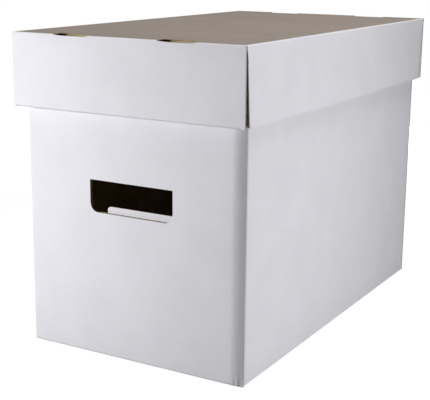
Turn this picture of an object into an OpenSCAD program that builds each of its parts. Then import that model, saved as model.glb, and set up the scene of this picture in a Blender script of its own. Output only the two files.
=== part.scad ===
// Storage box of corrugated board with a lift-off lid.
// Base and lid are each folded from one die-cut sheet, and every panel between two folds is a node.
// X runs across the box, Y along it with the front end at -Y, Z up from the floor. Millimetres.

/* [Board] */
// Thickness of the corrugated board
board_t = 3.2; // [2.4:0.1:4]
// Outside radius of a rolled fold
fold_r = 2.4; // [1:0.1:3]

/* [Base] */
// Width of the space inside the base
inside_w = 222; // [190:1:260]
// Length of the space inside the base
inside_l = 381; // [300:1:450]
// Height of the base from the floor to its rim
base_h = 291; // [250:1:340]
// Width of the strip where an end leans back to the corner that its long flap comes from
strip_w = 11.5; // [5:0.5:16]
// Thickness of the crushed board at that corner
strip_edge_t = 1; // [0.6:0.1:1.8]
// Distance from the end of a long corner flap to the far side of the hand hole
flap_short = 16.5; // [5:0.5:30]
// Distance from a short corner flap to the hand hole
flap_stop = 7.5; // [6:0.5:20]
// Trim at the top and foot of every flap
flap_trim = 1; // [0.5:0.1:3]
// Clearance of the rolled-in panels to the side walls
roll_gap = 0.5; // [0.3:0.1:1.5]

/* [Hand holes] */
// Width of a hand hole
hole_w = 87.5; // [75:0.5:110]
// Height of a hand hole
hole_h = 29.8; // [26:0.1:45]
// Height of its lower edge above the floor
hole_z = 136.2; // [90:0.1:160]
// Radius of its two lower corners
hole_r = 8.5; // [4:0.5:12]
// How much higher the lower edge stands in the corner flap behind
lip_h = 5.9; // [2:0.1:9]
// How far the opening in the inner end reaches below the hand hole
inner_drop = 2.5; // [1:0.1:5]
// How far it reaches past the hand hole on either side
inner_wide = 5.5; // [1:0.5:7]
// Play around a grip flap when it is pushed back into its opening
grip_gap = 0.8; // [0.6:0.1:1.5]
// Radius of the creased bead that a grip flap turns on
bead_r = 0.8; // [0.5:0.1:1.2]
// Play at the crease and behind the folded flap
crease_gap = 0.3; // [0.2:0.1:0.6]

/* [Locks of the base] */
// Length of a lock tab at the foot of an inner end
foot_tab_l = 40; // [25:1:55]
// Distance of a foot tab from the middle
foot_tab_x = 60; // [40:1:70]
// Clearance round a lock tab in its slot
lock_gap = 0.4; // [0.2:0.1:1]

/* [Lid] */
// Height of the lid
lid_h = 67; // [45:1:90]
// Clearance between the lid's side skirts and the base
lid_side_gap = 1.8; // [0.8:0.1:4]
// Clearance between the lid's end skirts and the base
lid_end_gap = 2.4; // [0.8:0.1:5]
// How far the lower end of a side skirt is cut back
skirt_relief = 5; // [1:0.5:8]
// How far the foot of a corner tab is cut back from its fold
tab_relief = 14; // [5:1:20]
// Length of a lid corner tab
corner_tab_l = 60; // [30:1:80]
// Length of a slot in the lid's end fold
slot_l = 37.5; // [30:0.5:50]
// Distance of a slot from the middle
slot_x = 54; // [40:1:70]
// Length of the lock tab that stands in a slot
lock_tab_l = 28; // [15:0.5:29]
// How far the lock tab stands to one side in its slot
lock_tab_shift = 4; // [0:0.5:4.5]

/* [Hidden] */
$fn = 48;

white_liner = "whitesmoke";
grey_liner = [0.60, 0.56, 0.52];
kraft_liner = [0.74, 0.65, 0.51];

// An end of the base or the lid is three boards thick: outer panel, corner flaps, rolled-in inner panel
end_t = 3 * board_t;
roll_r = min(fold_r, 0.9 * board_t);
past = 1; // how far a cut runs past the board

// Base
base_w = inside_w + 2 * board_t;
base_l = inside_l + 2 * end_t;
front_y = -base_l / 2;
wall_l = base_l - 2 * board_t;
wall_h = base_h - board_t;
layer_h = base_h - 2 * board_t;
inner_w = inside_w - 2 * roll_gap;
flap_h = layer_h - 2 * flap_trim;

// Hand hole in the outer end, and the openings in the two layers behind it
hole_top = hole_z + hole_h;
lip_z = hole_z + lip_h;
inner_hole_z = hole_z - inner_drop;
inner_hole_w = hole_w + 2 * inner_wide;
flap_reach = hole_w / 2 - flap_short;

// Grip flap, folded up against the inner end
crease_y = -inside_l / 2;
crease_z = hole_top - bead_r - crease_gap;
grip_w = inner_hole_w - 2 * grip_gap;
grip_h = crease_z - inner_hole_z - grip_gap;
grip_t = board_t - 2 * crease_gap;
grip_r = hole_r - grip_gap;

// Lid
lid_w = base_w + 2 * (lid_side_gap + board_t);
lid_l = base_l + 2 * (lid_end_gap + end_t);
lid_front_y = -lid_l / 2;
lid_top_z = base_h + board_t;
lid_low_z = lid_top_z - lid_h;
skirt_h = lid_h - board_t;
skirt_layer_h = skirt_h - board_t;
skirt_l = lid_l - 2 * board_t;
lid_inner_w = lid_w - 2 * (board_t + roll_gap);
corner_tab_h = skirt_layer_h - 2 * flap_trim;
corner_tab_z = lid_low_z + board_t + flap_trim;

// Board standing across the box: an outline in X and Z, its outer face at y
module across(y, thickness = board_t)
    translate([0, y + thickness, 0]) rotate([90, 0, 0]) linear_extrude(thickness) children();

// Board standing along the box: an outline in Y and Z, its left face at x
module along(x)
    translate([x, 0, 0]) rotate([90, 0, 90]) linear_extrude(board_t) children();

// Board lying flat: an outline in X and Y, its lower face at z
module flat(z)
    translate([0, 0, z]) linear_extrude(board_t) children();

// Rectangle centred on the first axis, standing on the second
module upright(w, h, foot = 0)
    translate([-w / 2, foot]) square([w, h]);

// Hand hole: square upper corners, round lower corners, lower edge at zero
module hole_outline(w, h, r) {
    translate([-w / 2, r]) square([w, h - r]);
    translate([-w / 2 + r, 0]) square([w - 2 * r, r]);
    for (side = [-1, 1]) translate([side * (w / 2 - r), r]) circle(r);
}

// Pair of rectangles at equal distances either side of the middle
module pair(distance, w, h, foot, shift = 0)
    for (side = [-1, 1]) translate([side * distance + shift, 0]) upright(w, h, foot);

// Rolled fold that closes the three layers of an end: a strip with both long edges rounded
module roll(w) {
    rotate([90, 0, 90]) translate([0, 0, -w / 2]) linear_extrude(w) intersection() {
        square([end_t, board_t]);
        union() {
            square([end_t, board_t - roll_r]);
            translate([roll_r, 0]) square([end_t - 2 * roll_r, board_t]);
            for (y = [roll_r, end_t - roll_r]) translate([y, board_t - roll_r]) circle(roll_r);
        }
    }
}

// The rear of the box is the front turned half round
module at_rear() rotate([0, 0, 180]) children();

// Bottom of the base, with slots for the foot tabs of both inner ends
module bottom_panel() color(white_liner)
    flat(0) difference() {
        square([base_w, base_l], center = true);
        for (turn = [0, 180]) rotate(turn)
            pair(foot_tab_x, foot_tab_l + 2 * lock_gap, board_t + 2 * lock_gap,
                front_y + end_t - board_t - lock_gap);
    }

module left_side_wall() color(white_liner)
    along(-base_w / 2) upright(wall_l, wall_h, board_t);

module right_side_wall() color(white_liner)
    along(base_w / 2 - board_t) upright(wall_l, wall_h, board_t);

// Plan of an outer end: flat, and leaning back in a crushed strip at the corner of the long flap
module outer_end_plan()
    polygon([
        [-base_w / 2, front_y],
        [base_w / 2 - strip_w, front_y],
        [base_w / 2, front_y + board_t - strip_edge_t],
        [base_w / 2, front_y + board_t],
        [-base_w / 2, front_y + board_t],
    ]);

module front_outer_end() color(white_liner)
    difference() {
        translate([0, 0, board_t]) linear_extrude(wall_h) outer_end_plan();
        across(front_y - past, board_t + 2 * past) {
            translate([0, hole_z]) hole_outline(hole_w, hole_h, hole_r);
            upright(inner_w, board_t + past, base_h - board_t);
        }
    }

module rear_outer_end() at_rear() front_outer_end();

// Inner end: rolled in over the top, with the larger hand opening and two foot tabs
module front_inner_end() color(white_liner)
    across(front_y + end_t - board_t) {
        difference() {
            upright(inner_w, layer_h, board_t);
            translate([0, inner_hole_z]) hole_outline(inner_hole_w, hole_h + inner_drop, hole_r);
        }
        pair(foot_tab_x, foot_tab_l, board_t - lock_gap, lock_gap);
    }

module rear_inner_end() at_rear() front_inner_end();

module front_top_roll() color(white_liner)
    translate([0, front_y, base_h - board_t]) roll(inner_w);

module rear_top_roll() at_rear() front_top_roll();

// Long corner flap, notched for the hand hole from its free end
module front_right_corner_flap() color(white_liner)
    across(front_y + board_t) difference() {
        translate([-flap_reach, board_t + flap_trim]) square([inside_w / 2 + flap_reach, flap_h]);
        translate([-flap_reach - past, lip_z])
            square([flap_reach + past + hole_w / 2 + grip_gap, hole_h - lip_h + grip_gap]);
    }

module rear_left_corner_flap() at_rear() front_right_corner_flap();

// Short corner flap, which stops before the hand hole
module front_left_corner_flap() color(white_liner)
    across(front_y + board_t) translate([-inside_w / 2, board_t + flap_trim])
        square([inside_w / 2 - hole_w / 2 - flap_stop, flap_h]);

module rear_right_corner_flap() at_rear() front_left_corner_flap();

// Grip flap: cut out of the inner end, folded in and up on a creased bead
module front_grip_flap() color(kraft_liner) {
    translate([0, 0, crease_z]) across(crease_y + crease_gap, grip_t)
        translate([0, grip_h]) mirror([0, 1]) hole_outline(grip_w, grip_h, grip_r);
    translate([-grip_w / 2, crease_y, crease_z]) rotate([0, 90, 0]) cylinder(h = grip_w, r = bead_r);
}

module rear_grip_flap() at_rear() front_grip_flap();

// Top of the lid, with two slots at each end fold
module lid_top_panel() color(grey_liner)
    flat(base_h) difference() {
        square([lid_w, lid_l], center = true);
        for (turn = [0, 180]) rotate(turn)
            pair(slot_x, slot_l, end_t + lock_gap + past, lid_front_y - past);
    }

// Side skirt of the lid, its lower corners cut back from the end skirts
module side_skirt_outline()
    polygon([
        [-skirt_l / 2, base_h],
        [skirt_l / 2, base_h],
        [skirt_l / 2 - skirt_relief, lid_low_z],
        [-skirt_l / 2 + skirt_relief, lid_low_z],
    ]);

module lid_left_skirt() color(white_liner)
    along(-lid_w / 2) side_skirt_outline();

module lid_right_skirt() color(white_liner)
    along(lid_w / 2 - board_t) side_skirt_outline();

// Outer skirt, which gives way to the roll along its lower edge
module lid_front_outer_skirt() color(white_liner)
    across(lid_front_y) difference() {
        upright(lid_w, skirt_h, lid_low_z);
        upright(lid_inner_w, board_t + past, lid_low_z - past);
    }

module lid_rear_outer_skirt() at_rear() lid_front_outer_skirt();

// Inner skirt: rolled in under the lower edge, with two lock tabs up into the slots
module lid_front_inner_skirt() color(kraft_liner)
    across(lid_front_y + end_t - board_t) {
        upright(lid_inner_w, skirt_layer_h, lid_low_z + board_t);
        pair(slot_x, lock_tab_l, board_t - lock_gap, base_h, lock_tab_shift);
    }

module lid_rear_inner_skirt() at_rear() lid_front_inner_skirt();

module lid_front_roll() color(white_liner)
    translate([0, lid_front_y, lid_low_z + board_t]) mirror([0, 0, 1]) roll(lid_inner_w);

module lid_rear_roll() at_rear() lid_front_roll();

// Corner tab of a side skirt, held between the outer and inner end skirts, with the lower part of its fold cut away
module lid_front_right_corner_tab() color(white_liner)
    across(lid_front_y + board_t)
        translate([lid_w / 2 - board_t - corner_tab_l, corner_tab_z])
            polygon([
                [0, 0],
                [corner_tab_l - tab_relief, 0],
                [corner_tab_l, 0.7 * corner_tab_h],
                [corner_tab_l, corner_tab_h],
                [0, corner_tab_h],
            ]);

module lid_front_left_corner_tab() mirror([1, 0, 0]) lid_front_right_corner_tab();

module lid_rear_left_corner_tab() at_rear() lid_front_right_corner_tab();

module lid_rear_right_corner_tab() at_rear() lid_front_left_corner_tab();

bottom_panel();
left_side_wall();
right_side_wall();
front_outer_end();
rear_outer_end();
front_inner_end();
rear_inner_end();
front_top_roll();
rear_top_roll();
front_right_corner_flap();
front_left_corner_flap();
rear_left_corner_flap();
rear_right_corner_flap();
front_grip_flap();
rear_grip_flap();
lid_top_panel();
lid_left_skirt();
lid_right_skirt();
lid_front_outer_skirt();
lid_rear_outer_skirt();
lid_front_inner_skirt();
lid_rear_inner_skirt();
lid_front_roll();
lid_rear_roll();
lid_front_right_corner_tab();
lid_front_left_corner_tab();
lid_rear_left_corner_tab();
lid_rear_right_corner_tab();
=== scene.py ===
import math
import bpy
import numpy as np
from mathutils import Matrix, Vector


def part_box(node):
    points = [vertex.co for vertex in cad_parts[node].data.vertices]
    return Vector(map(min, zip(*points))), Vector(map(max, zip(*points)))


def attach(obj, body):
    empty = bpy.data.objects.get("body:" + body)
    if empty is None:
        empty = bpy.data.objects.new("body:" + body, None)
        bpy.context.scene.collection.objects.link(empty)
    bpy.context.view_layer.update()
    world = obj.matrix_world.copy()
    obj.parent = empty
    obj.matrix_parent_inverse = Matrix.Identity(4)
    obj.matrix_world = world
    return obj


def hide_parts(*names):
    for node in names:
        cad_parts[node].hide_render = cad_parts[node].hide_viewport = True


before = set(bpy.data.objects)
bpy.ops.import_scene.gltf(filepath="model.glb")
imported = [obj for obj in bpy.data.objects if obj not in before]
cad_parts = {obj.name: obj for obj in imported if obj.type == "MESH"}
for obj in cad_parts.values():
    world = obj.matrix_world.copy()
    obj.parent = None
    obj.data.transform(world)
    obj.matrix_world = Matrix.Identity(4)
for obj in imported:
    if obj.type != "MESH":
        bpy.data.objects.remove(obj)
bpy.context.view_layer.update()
mm = 0.001
print("frame loaded with", len(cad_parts), "boards")

# hand holes, the same as in the part's source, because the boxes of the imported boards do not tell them
hand = {"width": 87.5 * mm, "height": 29.8 * mm, "low": 136.2 * mm, "radius": 8.5 * mm,
        "flapLip": 5.9 * mm, "innerDrop": 2.5 * mm, "innerWide": 5.5 * mm, "play": 0.8 * mm}

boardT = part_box("left_side_wall")[1].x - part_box("left_side_wall")[0].x
baseLow, baseHigh = (np.array(c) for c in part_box("bottom_panel"))
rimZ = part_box("left_side_wall")[1].z
lidLow, lidHigh = (np.array(c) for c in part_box("lid_top_panel"))
endT = 3 * boardT
holeTop = hand["low"] + hand["height"]
holeHalf = hand["width"] / 2
innerHalf = holeHalf + hand["innerWide"]
slack = 0.01 * mm    # play of the medium between its liners, and of a line that lies on an edge
foldGap = 0.1 * mm   # play between a board and the fold that covers its end
quarter = np.linspace(0, math.pi / 2, 9)    # eight steps of a quarter turn


# colour: an sRGB hex value to the linear colour that the shader takes
def linear(hexColour):
    srgb = np.array([int(hexColour[i:i + 2], 16) for i in (1, 3, 5)]) / 255
    low, high = srgb / 12.92, ((srgb + 0.055) / 1.055) ** 2.4
    return (*np.where(srgb <= 0.04045, low, high), 1.0)


# adds one node: its settings are attributes, its inputs are values or output sockets
def addNode(tree, kind, settings=None, **inputs):
    node = tree.nodes.new(kind)
    for key, value in (settings or {}).items():
        setattr(node, key, value)
    for key, value in inputs.items():
        socket = node.inputs[int(key[1:])] if key[0] == "_" else node.inputs[key.replace("_", " ")]
        if isinstance(value, bpy.types.NodeSocket):
            tree.links.new(value, socket)
        else:
            socket.default_value = value
    return node


# flutes of the board: their pitch, grid steps across one of them, and how thick the papers are
flute = {"pitch": 6.4 * mm, "steps": 12, "liner": 0.4 * mm, "medium": 0.26 * mm}

# what all papers share: bands of the noises that show as clouds, fibres and dull spots
paper = {"ior": 1.48, "cloudBand": (0.35, 0.65), "fibreBand": (0.52, 0.74),
         "roughBand": (0.3, 0.7), "roughSpread": 0.05}


# paper: two tones that drift in clouds, fibres drawn out along the machine direction, and the faint
# washboard that the flutes press through the liner; sizes are real ones in millimetres
def paperMaterial(name, look):
    material = bpy.data.materials.new(name)
    material.use_nodes = True
    tree = material.node_tree
    shader = tree.nodes["Principled BSDF"]
    sheet = addNode(tree, "ShaderNodeUVMap", {"uv_map": "sheet"}).outputs["UV"]
    place = addNode(tree, "ShaderNodeTexCoord").outputs["Object"]
    clouds = addNode(tree, "ShaderNodeTexNoise", Vector=place, Scale=1 / (look["cloud"] * mm), Detail=3.0)
    drawn = addNode(tree, "ShaderNodeMapping", Vector=sheet,
                    Scale=(1 / (look["fibreWidth"] * mm), 1 / (look["fibreLength"] * mm), 1.0))
    fibres = addNode(tree, "ShaderNodeTexNoise", Vector=drawn.outputs["Vector"],
                     Scale=1.0, Detail=4.0, Roughness=0.6)
    soft = addNode(tree, "ShaderNodeMapRange", Value=clouds.outputs["Fac"], From_Min=paper["cloudBand"][0],
                   From_Max=paper["cloudBand"][1], To_Min=0.0, To_Max=1.0)
    tone = addNode(tree, "ShaderNodeMix", {"data_type": "RGBA"}, _0=soft.outputs["Result"],
                   _6=linear(look["light"]), _7=linear(look["dark"]))
    thread = addNode(tree, "ShaderNodeMapRange", Value=fibres.outputs["Fac"], From_Min=paper["fibreBand"][0],
                     From_Max=paper["fibreBand"][1], To_Min=0.0, To_Max=look["fibreShow"])
    colour = addNode(tree, "ShaderNodeMix", {"data_type": "RGBA"}, _0=thread.outputs["Result"],
                     _6=tone.outputs[2], _7=linear(look["fibre"]))
    split = addNode(tree, "ShaderNodeSeparateXYZ", Vector=sheet)
    turns = addNode(tree, "ShaderNodeMath", {"operation": "MULTIPLY"}, _0=split.outputs["X"],
                    _1=2 * math.pi / flute["pitch"])
    wave = addNode(tree, "ShaderNodeMath", {"operation": "SINE"}, _0=turns.outputs["Value"])
    rib = addNode(tree, "ShaderNodeMath", {"operation": "MULTIPLY"}, _0=wave.outputs["Value"],
                  _1=look["washboard"])
    height = addNode(tree, "ShaderNodeMath", {"operation": "MULTIPLY_ADD"}, _0=fibres.outputs["Fac"],
                     _1=look["tooth"], _2=rib.outputs["Value"])
    bump = addNode(tree, "ShaderNodeBump", Height=height.outputs["Value"], Distance=1.0, Strength=1.0)
    rough = addNode(tree, "ShaderNodeMapRange", Value=fibres.outputs["Fac"], From_Min=paper["roughBand"][0],
                    From_Max=paper["roughBand"][1], To_Min=look["rough"] - paper["roughSpread"],
                    To_Max=look["rough"] + paper["roughSpread"])
    tree.links.new(colour.outputs[2], shader.inputs["Base Color"])
    tree.links.new(rough.outputs["Result"], shader.inputs["Roughness"])
    tree.links.new(bump.outputs["Normal"], shader.inputs["Normal"])
    shader.inputs["IOR"].default_value = paper["ior"]
    shader.inputs["Specular IOR Level"].default_value = look["specular"]
    return material


finish = {
    # white-top linerboard, bleached and calendered: even, cool white, hardly any tooth, a dull sheen
    "white": paperMaterial("white_top_linerboard_calendered", {
        "light": "#e7e6ec", "dark": "#e3e2e8", "fibre": "#d8d6da", "cloud": 38,
        "fibreWidth": 0.7, "fibreLength": 5, "fibreShow": 0.35,
        "washboard": 0.004 * mm, "tooth": 0.012 * mm, "rough": 0.62, "specular": 0.2}),
    # painted shade: the lid's top is white linerboard, given here a warm taupe grey for the shade that falls on it;
    # duller than the white
    "paintedShadeTop": paperMaterial("white_top_painted_shade", {
        "light": "#9f948a", "dark": "#9a8f86", "fibre": "#8d827a", "cloud": 60,
        "fibreWidth": 0.7, "fibreLength": 6, "fibreShow": 0.3,
        "washboard": 0.004 * mm, "tooth": 0.012 * mm, "rough": 0.75, "specular": 0.06}),
    # unbleached kraft linerboard: tan, long darker fibres, more tooth
    "kraft": paperMaterial("unbleached_kraft_linerboard", {
        "light": "#c8b593", "dark": "#b9a684", "fibre": "#968569", "cloud": 24,
        "fibreWidth": 0.6, "fibreLength": 7, "fibreShow": 0.6,
        "washboard": 0.006 * mm, "tooth": 0.03 * mm, "rough": 0.8, "specular": 0.12}),
    # fluting medium, semichemical and pressed hot: a darker tan, dull
    "medium": paperMaterial("semichemical_fluting_medium", {
        "light": "#8d7f6a", "dark": "#7c6f5b", "fibre": "#5f5443", "cloud": 12,
        "fibreWidth": 0.6, "fibreLength": 4, "fibreShow": 0.6,
        "washboard": 0.0, "tooth": 0.03 * mm, "rough": 0.85, "specular": 0.1}),
}
finishOrder = list(finish)
print("paper finishes made:", ", ".join(finishOrder))


# grid lines from start to end no further apart than step, with every fixed line kept
def gridLines(start, end, step, fixed=()):
    marks = np.unique(np.round([start, end, *(f for f in fixed if start < f < end)], 7))
    runs = [np.linspace(a, b, max(1, math.ceil((b - a) / step - 1e-6)), endpoint=False)
            for a, b in zip(marks[:-1], marks[1:])]
    return np.concatenate([*runs, marks[-1:]])


# closed shell over a grid of two parameters: an outer and an inner surface, walled along every open edge;
# keep says which cells of the grid are there, and loop joins the last row of the grid to the first
def shell(outer, inner, sheet, finishes, keep=None, flip=False, loop=False):
    rows, columns = outer.shape[:2]
    index = np.arange(rows * columns).reshape(rows, columns)
    if loop:
        index = np.vstack([index, index[:1]])
    if keep is None:
        keep = np.ones((index.shape[0] - 1, columns - 1), bool)
    a, b, c, d = index[:-1, :-1], index[1:, :-1], index[1:, 1:], index[:-1, 1:]
    around = np.pad(keep, 1)
    if loop:
        around[0, 1:-1], around[-1, 1:-1] = keep[-1], keep[0]
    open4 = (~around[1:-1, :-2], ~around[2:, 1:-1], ~around[1:-1, 2:], ~around[:-2, 1:-1])
    count = rows * columns
    skin = np.stack([a, b, c, d], -1)[keep]
    back = skin[:, ::-1] + count
    edges = [np.stack([q, p, p + count, q + count], -1)[keep & gone]
             for p, q, gone in zip((a, b, c, d), (b, c, d, a), open4)]
    wall = np.concatenate(edges)
    faces = np.concatenate([skin, back, wall])
    if flip:
        faces = faces[:, ::-1]
    numbers = [finishOrder.index(f) for f in finishes]
    kind = np.repeat(numbers, [len(skin), len(back), len(wall)])
    used, faces = np.unique(faces, return_inverse=True)
    points = np.concatenate([outer.reshape(-1, 3), inner.reshape(-1, 3)])[used]
    flat = np.concatenate([sheet.reshape(-1, 2)] * 2)[used]
    return points, faces.reshape(-1, 4), kind, flat


sharpAngle = math.radians(32)    # edges that turn more than this stay sharp


# puts shells together as one mesh at the origin, which rides on a body and stands for a node
def makePiece(name, shells, nodes, body):
    starts = np.cumsum([0, *(len(s[0]) for s in shells[:-1])])
    points = np.concatenate([s[0] for s in shells])
    faces = np.concatenate([s[1] + k for s, k in zip(shells, starts)])
    kind = np.concatenate([s[2] for s in shells])
    flat = np.concatenate([s[3] for s in shells])
    present = np.unique(kind)
    mesh = bpy.data.meshes.new(name)
    mesh.vertices.add(len(points))
    mesh.vertices.foreach_set("co", points.ravel())
    mesh.loops.add(faces.size)
    mesh.loops.foreach_set("vertex_index", faces.ravel())
    mesh.polygons.add(len(faces))
    mesh.polygons.foreach_set("loop_start", np.arange(0, faces.size, 4))
    for number in present:
        mesh.materials.append(finish[finishOrder[number]])
    mesh.polygons.foreach_set("material_index", np.searchsorted(present, kind))
    mesh.polygons.foreach_set("use_smooth", np.ones(len(faces), bool))
    mesh.update(calc_edges=True)
    mesh.uv_layers.new(name="sheet").data.foreach_set("uv", flat[faces.ravel()].ravel())
    mesh.set_sharp_from_angle(angle=sharpAngle)
    piece = bpy.data.objects.new(name, mesh)
    bpy.context.scene.collection.objects.link(piece)
    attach(piece, body)
    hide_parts(*nodes)
    return piece


# past a fold the sheet leaves its plane on a quarter circle towards the inside: gives the moved coordinate,
# the drop below the plane, and the sine and cosine of the turn
def turn(c, lowArris, highArris, lowRadius, highRadius):
    flatLow = -1.0 if lowArris is None else lowArris + lowRadius    # a metre off where there is no fold
    flatHigh = 1.0 if highArris is None else highArris - highRadius
    beyond = np.maximum(c - flatHigh, 0) + np.maximum(flatLow - c, 0)
    side = np.where(c > flatHigh, 1.0, -1.0)
    radius = np.where(c > flatHigh, highRadius, lowRadius)
    angle = np.clip(beyond / radius, 0, math.pi / 2)
    moved = np.clip(c, flatLow, flatHigh) + side * radius * np.sin(angle)
    return moved, radius * (1 - np.cos(angle)), side * np.sin(angle), np.cos(angle)


# lines of the grid on one axis of a liner: its flat run, and eight steps round each fold
def linerLines(span, arrises, radii, step, fixed):
    low = span[0] if arrises[0] is None else arrises[0] + radii[0]
    high = span[1] if arrises[1] is None else arrises[1] - radii[1]
    before = [] if arrises[0] is None else low - radii[0] * quarter[:0:-1]
    after = [] if arrises[1] is None else high + radii[1] * quarter[1:]
    return np.concatenate([before, gridLines(low, high, step, fixed), after])


grid = {"liner": 18 * mm, "medium": 45 * mm, "roll": 30 * mm}    # widest steps along a paper


# one corrugated board in the place of a node: two liners, and between them the medium as a cosine wave across
# the flutes. A point is a function of u across the flutes, v along them and the depth under the white face.
# cuts are boxes (u low, u high, v low, v high) that are missing, folds the arrises where the white liner turns in,
# each with its radius; shape changes u, v and depth, lean sets the board back, bow is the height of its belly,
# reach lets the layers behind the white liner run on past the node, and box stands for the node's own box
def boardShells(node, white, flutes, cuts=(), folds=(None,) * 4, radii=(2 * mm,) * 4, shape=None, lean=None,
                bow=0.0, reach=(0.0,) * 4, fine=((), ()), face="white", edge="kraft", box=None):
    low, high = (np.array(c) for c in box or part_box(node))
    axisW, axisV, sign = "XYZ".index(white[1]), "XYZ".index(flutes), 1 if white[0] == "+" else -1
    axisU = 3 - axisW - axisV
    flip = ((axisV - axisU) % 3 == 1) != (sign > 0)
    thick = high[axisW] - low[axisW]
    plane = high[axisW] if sign > 0 else low[axisW]
    spans = [(low[k], high[k]) for k in (axisU, axisV)]
    marks = [sorted({*(x for c in cuts for x in c[2 * k:2 * k + 2]), *fine[k]}) for k in (0, 1)]

    def place(u, v, depth):
        back = lean(u, v, depth) if lean else 0.0
        if shape:
            u, v, depth = shape(u, v, depth)
        arch = [np.sin(math.pi * np.clip((c - s[0]) / (s[1] - s[0]), 0, 1)) for c, s in zip((u, v), spans)]
        u, dropU, tiltU, evenU = turn(u, *folds[:2], *radii[:2])
        v, dropV, tiltV, evenV = turn(v, *folds[2:], *radii[2:])
        points = np.empty((*np.broadcast(u, v, depth).shape, 3))
        points[..., axisU] = u - depth * tiltU
        points[..., axisV] = v - depth * tiltV
        sunk = dropU + dropV + depth * evenU * evenV + back * evenV - bow * arch[0] * arch[1]
        points[..., axisW] = plane - sign * sunk
        return points

    def layer(linesU, linesV, outerDepth, innerDepth, finishes):
        u, v = np.meshgrid(linesU, linesV, indexing="ij")
        midU, midV = (linesU[:-1] + linesU[1:])[:, None] / 2, (linesV[:-1] + linesV[1:])[None] / 2
        keep = np.ones((len(linesU) - 1, len(linesV) - 1), bool)
        for u0, u1, v0, v1 in cuts:
            keep &= ~((midU > u0) & (midU < u1) & (midV > v0) & (midV < v1))
        return shell(place(u, v, outerDepth(u)), place(u, v, innerDepth(u)), np.stack([u, v], -1),
                     finishes, keep, flip)

    # behind the white liner the layers stop where its folds begin
    behind = []
    for k in (0, 1):
        first, last = spans[k][0] - reach[2 * k], spans[k][1] + reach[2 * k + 1]
        lowArris, highArris = folds[2 * k:2 * k + 2]
        behind.append((first if lowArris is None else max(first, lowArris + radii[2 * k]),
                       last if highArris is None else min(last, highArris - radii[2 * k + 1])))
    liner, half = flute["liner"], flute["medium"] / 2
    swing = (thick - 2 * liner) / 2 - half - slack
    crest = lambda u: thick / 2 - swing * np.cos(2 * math.pi * u / flute["pitch"])
    level = lambda d: (lambda u: np.full_like(u, d))
    outLines = [linerLines(spans[k], folds[2 * k:2 * k + 2], radii[2 * k:2 * k + 2], grid["liner"], marks[k])
                for k in (0, 1)]
    inLines = [gridLines(*behind[k], grid["liner"], marks[k]) for k in (0, 1)]
    waveLines = [gridLines(*behind[0], flute["pitch"] / flute["steps"], marks[0]),
                 gridLines(*behind[1], grid["medium"], marks[1])]
    return [layer(*outLines, level(0.0), level(liner), (face, "kraft", edge)),
            layer(*waveLines, lambda u: crest(u) - half, lambda u: crest(u) + half, ("medium",) * 3),
            layer(*inLines, level(thick - liner), level(thick), ("kraft",) * 3)]


holeEase = {"beside": 15 * mm, "below": 30 * mm}    # how far from a hand hole the grid's lines give way


# rounds the two lower corners of a hand hole: the line along its lower edge rises on a quarter circle
# towards each side of the hole and sinks again past it, and the lines above and below give way
def roundHole(x, z, low, half):
    radius = hand["radius"]
    into = np.clip(np.abs(x) - (half - radius), 0, radius)
    rise = radius - np.sqrt(np.maximum(radius ** 2 - into ** 2, 0))
    rise = rise * np.clip(1 - (np.abs(x) - half) / holeEase["beside"], 0, 1)
    give = np.where(z < low, 1 - (low - z) / holeEase["below"], 1 - (z - low) / (holeTop - low))
    return z + rise * np.clip(give, 0, 1)


# flat panel between folds: its liner stops where they begin, and the layers behind it stop at the boards that
# stand there
def panelShells(node, white, flutes, cuts, insetX, insetY, **looks):
    inset = Vector((insetX, insetY, 0))
    low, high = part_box(node)
    reach = [fold - boardT - foldGap for fold in (insetX, insetX, insetY, insetY)]
    return boardShells(node, white, flutes, cuts, box=(low + inset, high - inset),
                       reach=reach if flutes == "Y" else reach[2:] + reach[:2], **looks)


# grid lines through the two lower corners of a hand hole
def cornerLines(half):
    return np.concatenate([side * (half - np.linspace(0, hand["radius"], 9)) for side in (-1, 1)])


# walls of the base: flutes run along the box, the white liner turns under the bottom and round both corners,
# more softly at the corner of the long flap
wall = {"radius": 2.2 * mm, "tight": 0.8 * mm, "bow": 0.5 * mm}
outerEnd = {"radius": 1.8 * mm, "corner": 2.4 * mm, "bow": 0.6 * mm}
for side, name in ((-1, "left_side_wall"), (1, "right_side_wall")):
    low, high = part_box(name)
    shells = boardShells(name, "+X" if side > 0 else "-X", "Y", folds=(0.0, None, low.y, high.y),
                         radii=(*(wall["radius"],) * 2, *(wall["radius"], wall["tight"])[::side]),
                         bow=wall["bow"])
    makePiece(name, shells, [name], "base")

# bottom of the base, inside the fold of the walls, with the slots for the foot tabs, which are as in the source
footTab = {"length": 40 * mm, "offset": 60 * mm, "gap": 0.4 * mm}
bottomSlots = [(x * footTab["offset"] - footTab["length"] / 2 - footTab["gap"],
                x * footTab["offset"] + footTab["length"] / 2 + footTab["gap"],
                *sorted((turned * (baseLow[1] + 2 * boardT - footTab["gap"]),
                         turned * (baseLow[1] + endT + footTab["gap"]))))
               for x in (-1, 1) for turned in (1, -1)]
shells = panelShells("bottom_panel", "-Z", "Y", bottomSlots, wall["radius"], outerEnd["radius"])
makePiece("bottom_panel", shells, ["bottom_panel"], "base")
print("walls and bottom made")


cornerStrip = {"width": 13.5 * mm, "edge": 0.45 * mm, "ease": 0.68, "turn": 0.8 * mm,
               "crumple": 0.22 * mm, "wrinkles": 19, "fadeIn": 3, "fall": 5 * mm, "foot": 16 * mm}


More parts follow.
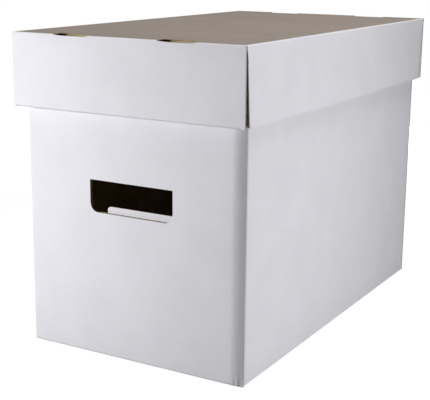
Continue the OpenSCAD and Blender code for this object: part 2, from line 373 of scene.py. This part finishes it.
# outer end of the base: near the corner of the long flap the face leans back on a soft bend until only a crushed
# edge is left, and its foot is wrinkled there on a sine that dies away upwards
def leanBack(x, z, depth):
    across = np.clip((x - (baseHigh[0] - cornerStrip["width"])) / cornerStrip["width"], 0, 1)
    ease = cornerStrip["ease"]
    lean = np.where(across < ease, across ** 2 / (2 * ease), across - ease / 2) / (1 - ease / 2)
    crush = lean * (boardT - cornerStrip["edge"]) / boardT
    fade = np.clip(across * cornerStrip["fadeIn"], 0, 1) * np.exp(-np.maximum(z, 0) / cornerStrip["fall"])
    wrinkle = cornerStrip["crumple"] * (1 + np.sin(across * cornerStrip["wrinkles"])) * fade
    return (boardT - depth) * (crush + wrinkle / boardT)


stripLines = baseHigh[0] - np.linspace(0, cornerStrip["width"], 19)
footLines = np.linspace(0, cornerStrip["foot"], 9)[1:]
ends = (("front", 1), ("rear", -1))
for end, turned in ends:
    name = end + "_outer_end"
    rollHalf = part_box(end + "_top_roll")[1].x
    cuts = [(-holeHalf, holeHalf, hand["low"], holeTop), (-rollHalf, rollHalf, rimZ - boardT, 1.0)]
    shape = lambda x, z, depth: (x, roundHole(x, z, hand["low"], holeHalf), depth)
    lean = lambda x, z, depth: leanBack(turned * x, z, depth)
    corners = (outerEnd["corner"], cornerStrip["turn"])[::turned]
    shells = boardShells(name, "-Y" if turned > 0 else "+Y", "Z", cuts, (baseLow[0], baseHigh[0], 0.0, None),
                         (*corners, *(outerEnd["radius"],) * 2), shape, lean, outerEnd["bow"],
                         fine=([*cornerLines(holeHalf), *(turned * stripLines)], footLines), edge="white")
    makePiece(name, shells, [name], "base")

# inner ends: rolled in, so the white side faces the inside; a larger hand opening and two foot tabs
for end, turned in ends:
    name = end + "_inner_end"
    tabs = [s * footTab["offset"] + k * footTab["length"] / 2 for s in (-1, 1) for k in (-1, 1)]
    feet = [(-1.0, tabs[0]), (tabs[1], tabs[2]), (tabs[3], 1.0)]
    innerLow = hand["low"] - hand["innerDrop"]
    cuts = [(-innerHalf, innerHalf, innerLow, holeTop), *((a, b, -1.0, boardT) for a, b in feet)]
    shape = lambda x, z, depth: (x, roundHole(x, z, innerLow, innerHalf), depth)
    shells = boardShells(name, "+Y" if turned > 0 else "-Y", "Z", cuts, shape=shape,
                         fine=(cornerLines(innerHalf), ()))
    makePiece(name, shells, [name], "base")


lip = {"edge": 0.8 * mm, "reach": 4 * mm, "round": 3.5 * mm, "give": 3}


# corner flaps: flutes run across; the long one is notched from its free end for the hand hole. The lip under the
# notch ends in a corner rounded on a quarter circle, and the die pinches it from behind on a straight slope up to
# its edge
def roundLip(z, x, depth, freeEnd, notchEnd, edge):
    into = np.clip(freeEnd + lip["round"] - x, 0, lip["round"])
    fall = lip["round"] - np.sqrt(lip["round"] ** 2 - into ** 2)
    under = z < edge + slack
    give = np.clip(1 - (edge - z) / (lip["give"] * lip["round"]), 0, 1) * under
    slope = np.clip(1 - (edge - z) / lip["reach"], 0, 1) * (under & (x < notchEnd))
    return z - fall * give, x, depth * (1 - (1 - lip["edge"] / boardT) * slope)


for end, turned in ends:
    away = "-Y" if turned > 0 else "+Y"
    longName = end + ("_right" if turned > 0 else "_left") + "_corner_flap"
    shortName = end + ("_left" if turned > 0 else "_right") + "_corner_flap"
    notchEnd = holeHalf + hand["play"]
    lipEdge = hand["low"] + hand["flapLip"]
    notch = (lipEdge, holeTop + hand["play"], *sorted((-turned * 1.0, turned * notchEnd)))
    freeEnd = min(turned * c.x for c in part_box(longName))

    def lipShape(z, x, depth):
        z, across, depth = roundLip(z, turned * x, depth, freeEnd, notchEnd, lipEdge)
        return z, turned * across, depth

    lipLines = lipEdge - np.concatenate([lip["reach"] * np.linspace(0, 1, 5)[1:],
                                         lip["round"] * np.arange(1, lip["give"] + 1)])
    endLines = turned * (freeEnd + lip["round"] * (1 - np.cos(np.linspace(0, math.pi / 2, 7))))
    shells = boardShells(longName, away, "X", [notch], shape=lipShape, fine=(lipLines, endLines))
    makePiece(longName, shells, [longName], "base")
    makePiece(shortName, boardShells(shortName, away, "X"), [shortName], "base")
print("ends and corner flaps made")


roll = {"radius": 2.4 * mm, "gap": 0.02 * mm}


# rolled fold over the three layers of an end: up, over a quarter circle, across, over another and down again;
# the white liner follows that line and a kraft core lies under it
def rollShells(node, up):
    low, high = (np.array(c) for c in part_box(node))
    radius = roll["radius"]
    rise, span = high[2] - low[2] - radius, high[1] - low[1]
    sine, cosine = np.sin(quarter), np.cos(quarter)
    y = np.concatenate([[0.0], radius * (1 - cosine), span - radius * (1 - sine), [span]])
    z = np.concatenate([[0.0], rise + radius * sine, rise + radius * cosine, [0.0]])
    ny = np.concatenate([[-1.0], -cosine, sine, [1.0]])
    nz = np.concatenate([[0.0], sine, cosine, [0.0]])
    x = gridLines(low[0], high[0], grid["roll"])
    foot = low[2] if up else high[2]
    way = 1 if up else -1

    def sweep(inset, flat=False):
        points = np.empty((len(y), len(x), 3))
        points[..., 0] = x
        points[..., 1] = (low[1] + y - inset * ny)[:, None]
        points[..., 2] = (foot + way * (0.0 if flat else 1.0) * np.maximum(z - inset * nz, 0))[:, None]
        return points

    run = np.concatenate([[0], np.cumsum(np.hypot(np.diff(y), np.diff(z)))])
    sheet = np.stack(np.meshgrid(x, run), -1)
    under = flute["liner"] + roll["gap"]
    inner = slice(1, -1)
    return [shell(sweep(0.0), sweep(flute["liner"]), sheet, ("white", "kraft", "kraft"), flip=up),
            shell(sweep(under)[inner], sweep(under, True)[inner], sheet[inner], ("kraft",) * 3, flip=up)]


for end, turned in ends:
    for prefix, body, up in (("", "base", True), ("lid_", "lid", False)):
        name = prefix + end + ("_top_roll" if up else "_roll")
        makePiece(name, rollShells(name, up), [name], body)


# grip flap, folded up against the inner end: white side to the end, its two free corners round, and along its
# root the creased liner as a thin roll on the fold's axis
def roundFlap(x, z, depth, root, tip):
    radius = hand["radius"] - hand["play"]
    into = np.clip(np.abs(x) - (innerHalf - hand["play"] - radius), 0, radius)
    fall = radius - np.sqrt(np.maximum(radius ** 2 - into ** 2, 0))
    return x, z - fall * np.clip((z - root) / (tip - root), 0, 1), depth


crease = {"radius": 0.8 * mm, "gap": 0.3 * mm, "bore": 0.3, "around": 16, "along": 24}


# the thin roll: circles round the fold's axis, carried along it, with a fine bore
def creaseShell(node, axisY, axisZ):
    low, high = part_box(node)
    radius = crease["radius"]
    angle = np.linspace(0, 2 * math.pi, crease["around"], endpoint=False)[:, None]
    x = np.linspace(low.x, high.x, crease["along"])[None]
    ring = lambda r: np.stack(np.broadcast_arrays(x, axisY + r * np.cos(angle), axisZ + r * np.sin(angle)), -1)
    sheet = np.stack(np.broadcast_arrays(x, angle * radius), -1)
    return shell(ring(radius), ring(crease["bore"] * radius), sheet, ("white", "kraft", "kraft"), loop=True)


for end, turned in ends:
    name = end + "_grip_flap"
    low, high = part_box(name)
    root = holeTop - crease["gap"] - crease["radius"]
    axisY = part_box(end + "_inner_end")[1 if turned > 0 else 0].y
    edges = cornerLines(innerHalf - hand["play"])
    shape = lambda x, z, depth: roundFlap(x, z, depth, root, high.z)
    plate = (low.x, axisY + crease["gap"], root), high
    if turned < 0:
        plate = (low.x, low.y, root), (high.x, axisY - crease["gap"], high.z)
    shells = boardShells(name, "-Y" if turned > 0 else "+Y", "Z", shape=shape, fine=(edges, ()), box=plate)
    makePiece(name, [*shells, creaseShell(name, axisY, root)], [name], end + "_grip")
print("rolls and grip flaps made")

# lid: flutes run across it, and the white liner of every skirt turns over the arris to meet the top, whose white is
# painted as a warm, shaded taupe grey; the first five sizes of a slot are as in the source, the others say how its
# edge dips and its tab leans and is crushed
lidSlot = {"length": 37.5 * mm, "offset": 54 * mm, "tab": 28 * mm, "shift": 4 * mm, "gap": 0.4 * mm,
           "dip": 1.2 * mm, "lift": 0.8 * mm, "ease": 1.7 * mm, "lean": (1.6 * mm, 0.6 * mm), "edge": 2 * mm}
arris = {"radius": 1.4 * mm}
topZ = lidHigh[2]
slotBack = endT + lidSlot["gap"] + max(lidSlot["lean"])
slotCut = topZ - lidSlot["dip"]
foldLow = topZ - arris["radius"] - foldGap
slotSpans = [(s * lidSlot["offset"] - lidSlot["length"] / 2, s * lidSlot["offset"] + lidSlot["length"] / 2)
             for s in (-1, 1)]
topSlots = [(*sorted((turned * -1.0, turned * (lidLow[1] + slotBack))), *span)
            for turned in (1, -1) for span in slotSpans]
# painted shade: the top panel takes the taupe grey that stands for the shade on its white face
shells = panelShells("lid_top_panel", "+Z", "X", topSlots, arris["radius"], arris["radius"], face="paintedShadeTop")
makePiece("lid_top_panel", shells, ["lid_top_panel"], "lid")

# side skirts: the ends are cut back on a slant from the end skirts and rounded at the foot, and the fold over the
# top reaches on to the corner
skirt = {"relief": 5 * mm, "round": 2 * mm, "over": 1.5 * mm, "crush": 4 * mm, "edge": 0.9 * mm,
         "turn": 0.4 * mm, "turnTop": 0.5 * mm, "turnFoot": 0.9 * mm}
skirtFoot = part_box("lid_left_skirt")[0].z
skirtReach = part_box("lid_left_skirt")[1].y
roundLines = skirtFoot + skirt["round"] * np.linspace(0, 1, 7) ** 2


# length of a side skirt at each height: a straight slant below the rim, a quarter circle at the foot, and above the
# rim a run on to the corner
def slant(y, z, depth):
    back = skirt["relief"] * np.clip((rimZ - z) / (rimZ - skirtFoot), 0, 1)
    under = np.clip(1 - (z - skirtFoot) / skirt["round"], 0, 1)
    foot = skirt["round"] * (1 - np.sqrt(1 - under ** 2))
    on = (lidHigh[1] - arris["radius"] - skirtReach) * np.clip((z - rimZ) / skirt["over"], 0, 1)
    return y * (1 + (on - back - foot - cornerRadius(z)) / skirtReach), z, depth


# radius of the fold at the ends of a side skirt: it opens towards the foot
def cornerRadius(z):
    down = np.clip((rimZ - z) / (rimZ - skirtFoot), 0, 1)
    return skirt["turnTop"] + (skirt["turnFoot"] - skirt["turnTop"]) * down


# white liner round that fold: a quarter circle in plan from the end of the skirt's flat, carried up the slant
def cornerTurn(side, end):
    z = np.unique([*roundLines, *np.linspace(skirtFoot, foldLow, 12)])[None]
    angle = np.linspace(0, math.pi / 2, 11)[:, None]
    flatEnd, _, _ = slant(np.full_like(z, skirtReach), z, 0.0)

    def surface(depth):
        x = lidHigh[0] - cornerRadius(z) * (1 - np.cos(angle)) - depth * np.cos(angle)
        y = flatEnd + cornerRadius(z) * np.sin(angle) - depth * np.sin(angle)
        return np.stack(np.broadcast_arrays(side * x, end * y, z), -1)

    sheet = np.stack(np.broadcast_arrays(flatEnd + angle * skirt["turnFoot"], z), -1)
    return shell(surface(0.0), surface(flute["liner"]), sheet, ("white", "kraft", "kraft"), flip=side != end)


for side, name in ((-1, "lid_left_skirt"), (1, "lid_right_skirt")):
    shells = boardShells(name, "+X" if side > 0 else "-X", "Z", folds=(None, None, None, topZ),
                         radii=(arris["radius"],) * 4, shape=slant,
                         reach=(0.0, 0.0, 0.0, foldLow - rimZ), fine=((), roundLines))
    corners = [cornerTurn(side, end) for end in (-1, 1)]
    makePiece(name, [*shells, *corners], [name], "lid")


# share of its depth that an end skirt keeps: its two ends are crushed thin from behind on a straight slope
def crushed(x):
    return 1 - np.clip((np.abs(x) - lidHigh[0]) / skirt["crush"] + 1, 0, 1) * (1 - skirt["edge"] / boardT)


# end skirts: at each slot the fold is cut away, and the cut rises from its middle, on a cubic towards one end of the
# slot and on the eighth power, so later and quicker, towards the other
def endSkirt(z, x, depth, turned):
    middle = np.where(x < 0, -lidSlot["offset"], lidSlot["offset"])
    out = turned * (middle - x) / (lidSlot["length"] / 2)
    curve = np.where(out > 0, np.abs(out) ** 3, np.abs(out) ** 8)
    rise = lidSlot["lift"] * np.where(np.abs(out) < 1 + 1e-5, curve, 0)
    return z + rise * np.clip(1 - np.abs(z - slotCut) / lidSlot["ease"], 0, 1), x, depth * crushed(x)


hem = {"width": 3.2 * mm, "inset": 0.05 * mm, "gap": 0.02 * mm, "top": 0.2 * mm}


# hem: the white liner wrapped round that crushed end, a strip that lies on the back of it
def hemShell(side, turned):
    x = (lidHigh[0] - hem["inset"] - np.linspace(hem["width"], 0, 7))[:, None]
    z = np.linspace(skirtFoot, rimZ, 12)[None]

    def surface(lift):
        y = lidLow[1] + boardT * crushed(x) + lift
        return np.stack(np.broadcast_arrays(side * x, turned * y, z), -1)

    sheet = np.stack(np.broadcast_arrays(x, z), -1)
    return shell(surface(hem["top"]), surface(hem["gap"]), sheet, ("white",) * 3, flip=side == turned)


crushLines = [s * (lidHigh[0] - k * skirt["crush"]) for s in (-1, 1) for k in (0.25, 0.5, 0.75, 1)]
slotLines = [a + k * (b - a) for a, b in slotSpans for k in np.linspace(0, 1, 13)]
for end, turned in ends:
    name = f"lid_{end}_outer_skirt"
    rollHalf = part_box(f"lid_{end}_roll")[1].x
    cuts = [(slotCut, 1.0, *span) for span in slotSpans]
    cuts.append((-1.0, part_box(name)[0].z + boardT, -rollHalf, rollHalf))
    shape = lambda z, x, depth: endSkirt(z, x, depth, turned)
    shells = boardShells(name, "-Y" if turned > 0 else "+Y", "X", cuts,
                         (None, topZ, lidLow[0], lidHigh[0]),
                         (*(arris["radius"],) * 2, *(skirt["turn"],) * 2), shape,
                         reach=(0.0, foldLow - rimZ, 0.0, 0.0), fine=((), [*slotLines, *crushLines]),
                         edge="white")
    hems = [hemShell(side, turned) for side in (-1, 1)]
    makePiece(name, [*shells, *hems], [name], "lid")

# inner skirts: white side to the inside, with two lock tabs up into the slots; a tab gets thinner towards its edge
# and leans back, both on a straight slope, and one of each pair leans more than the other
for end, turned in ends:
    name = f"lid_{end}_inner_skirt"
    up = lambda z: np.clip((z - rimZ) / (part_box(name)[1].z - rimZ), 0, 1)
    crush = lambda z, x, depth: (z, x, depth * (1 - up(z) * (1 - lidSlot["edge"] / boardT)))
    lean = lambda z, x, depth: -up(z) * np.where(turned * x < 0, *lidSlot["lean"])
    tabs = sorted(turned * (s * lidSlot["offset"] + lidSlot["shift"] + k * lidSlot["tab"] / 2)
                  for s in (-1, 1) for k in (-1, 1))
    cuts = [(rimZ, 1.0, a, b) for a, b in ((-1.0, tabs[0]), (tabs[1], tabs[2]), (tabs[3], 1.0))]
    shells = boardShells(name, "+Y" if turned > 0 else "-Y", "X", cuts, shape=crush, lean=lean)
    makePiece(name, shells, [name], "lid")

# corner tabs: folded in from the side skirts, with the root cut back on a slant towards the foot
cornerTab = {"relief": 14 * mm, "from": 0.7}
for end, turned in ends:
    for side in ("left", "right"):
        name = f"lid_{end}_{side}_corner_tab"
        low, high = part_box(name)
        free = low.x if side == "right" else high.x

        def cutBack(x, z, depth):
            down = np.clip(1 - (z - low.z) / (cornerTab["from"] * (high.z - low.z)), 0, 1)
            return free + (x - free) * (1 - cornerTab["relief"] * down / (high.x - low.x)), z, depth

        makePiece(name, boardShells(name, "-Y" if turned > 0 else "+Y", "Z", shape=cutBack,
                                    fine=((), [low.z + cornerTab["from"] * (high.z - low.z)])),
                  [name], "lid")
print("lid made")


# one where the camera sees a surface straight, mirrored or through glass, else zero
def seenDirectly(tree):
    rays = addNode(tree, "ShaderNodeLightPath").outputs
    most = addNode(tree, "ShaderNodeMath", {"operation": "MAXIMUM"}, _0=rays["Is Camera Ray"],
                   _1=rays["Is Glossy Ray"])
    return addNode(tree, "ShaderNodeMath", {"operation": "MAXIMUM"}, _0=most.outputs["Value"],
                   _1=rays["Is Transmission Ray"])


# floor: pale and matt, white where the camera sees it, a little less near the box, where it takes a soft shadow
floorLook = {"colour": "#8c8c8c", "near": 0.3, "far": 1.5, "nearGlow": 0.86, "farGlow": 1.0,
             "size": 40.0, "z": -0.0005}
floorMaterial = bpy.data.materials.new("pale_studio_floor")
floorMaterial.use_nodes = True
tree = floorMaterial.node_tree
tree.nodes.clear()
seen = seenDirectly(tree)
matt = addNode(tree, "ShaderNodeBsdfDiffuse", Color=linear(floorLook["colour"]))
place = addNode(tree, "ShaderNodeTexCoord").outputs["Object"]
away = addNode(tree, "ShaderNodeVectorMath", {"operation": "LENGTH"}, _0=place)
strength = addNode(tree, "ShaderNodeMapRange", {"interpolation_type": "SMOOTHSTEP"},
                   Value=away.outputs["Value"], From_Min=floorLook["near"], From_Max=floorLook["far"],
                   To_Min=floorLook["nearGlow"], To_Max=floorLook["farGlow"])
glow = addNode(tree, "ShaderNodeEmission", Color=linear("#ffffff"), Strength=strength.outputs["Result"])
both = addNode(tree, "ShaderNodeAddShader", _0=matt.outputs["BSDF"], _1=glow.outputs["Emission"])
pick = addNode(tree, "ShaderNodeMixShader", _0=seen.outputs["Value"], _1=matt.outputs["BSDF"],
               _2=both.outputs["Shader"])
addNode(tree, "ShaderNodeOutputMaterial", Surface=pick.outputs["Shader"])
floorMesh = bpy.data.meshes.new("floor")
floorMesh.from_pydata([(x * floorLook["size"], y * floorLook["size"], floorLook["z"])
                       for x, y in ((-1, -1), (1, -1), (1, 1), (-1, 1))], [], [(0, 1, 2, 3)])
floorMesh.materials.append(floorMaterial)
floor = bpy.data.objects.new("floor", floorMesh)
bpy.context.scene.collection.objects.link(floor)

# world: a dim, cool room light, white where the camera sees it
worldLook = {"colour": "#f4f4f8", "strength": 0.02}
world = bpy.data.worlds.new("studio")
bpy.context.scene.world = world
world.use_nodes = True
tree = world.node_tree
tree.nodes.clear()
seen = seenDirectly(tree)
room = addNode(tree, "ShaderNodeBackground", Color=linear(worldLook["colour"]), Strength=worldLook["strength"])
white = addNode(tree, "ShaderNodeBackground", Color=linear("#ffffff"), Strength=1.0)
pick = addNode(tree, "ShaderNodeMixShader", _0=seen.outputs["Value"], _1=room.outputs["Background"],
               _2=white.outputs["Background"])
addNode(tree, "ShaderNodeOutputWorld", Surface=pick.outputs["Shader"])

# lamps: one that grazes the front from the left and is turned away from the left wall, a small one near the right
# side, turned towards its front, one high over the lid and one behind
lamps = {
    "left_softbox": {"at": (-0.64, -0.66, 0.3), "aim": (0.31, -0.96, -0.07),
                     "size": (0.24, 0.1), "power": 12.5},
    "right_softbox": {"at": (0.85, 0.04, 0.2), "aim": (0.1, -0.95, 0.1),
                      "size": (0.3, 0.4), "power": 5.0},
    "top_softbox": {"at": (0.2, 0.03, 1.3), "aim": (0.08, 0.0, 0.29),
                    "size": (0.6, 0.6), "power": 8.8},
    "back_softbox": {"at": (-0.3, 1.2, 0.17), "aim": (-0.15, 0.0, 0.17),
                     "size": (0.6, 0.24), "power": 7.5},
}
for name, lamp in lamps.items():
    data = bpy.data.lights.new(name, "AREA")
    data.shape = "RECTANGLE"
    data.size, data.size_y = lamp["size"]
    data.energy = lamp["power"]
    light = bpy.data.objects.new(name, data)
    light.location = lamp["at"]
    light.rotation_euler = (Vector(lamp["aim"]) - Vector(lamp["at"])).to_track_quat("-Z", "Y").to_euler()
    bpy.context.scene.collection.objects.link(light)

# camera: found from the box's edges in the picture; roll is about the view line
view = {"azimuth": 29.811, "elevation": 13.684, "roll": -0.01, "at": (0.49676, -0.91814, 0.36476),
        "lens": 85.252, "sensor": 36}
az, el = math.radians(view["azimuth"]), math.radians(view["elevation"])
back = Vector((math.sin(az) * math.cos(el), -math.cos(az) * math.cos(el), math.sin(el)))
right = Vector((math.cos(az), math.sin(az), 0))
up = back.cross(right)
cosRoll, sinRoll = math.cos(view["roll"]), math.sin(view["roll"])
rightTurned, upTurned = right * cosRoll - up * sinRoll, right * sinRoll + up * cosRoll
cameraData = bpy.data.cameras.new("camera")
cameraData.sensor_width = view["sensor"]
cameraData.lens = view["lens"]
camera = bpy.data.objects.new("camera", cameraData)
axes = Matrix((rightTurned, upTurned, back)).transposed()
camera.matrix_world = Matrix.Translation(view["at"]) @ axes.to_4x4()
bpy.context.scene.collection.objects.link(camera)
bpy.context.scene.camera = camera
bpy.context.scene.view_settings.view_transform = "Standard"
print("stage, lamps and camera set")
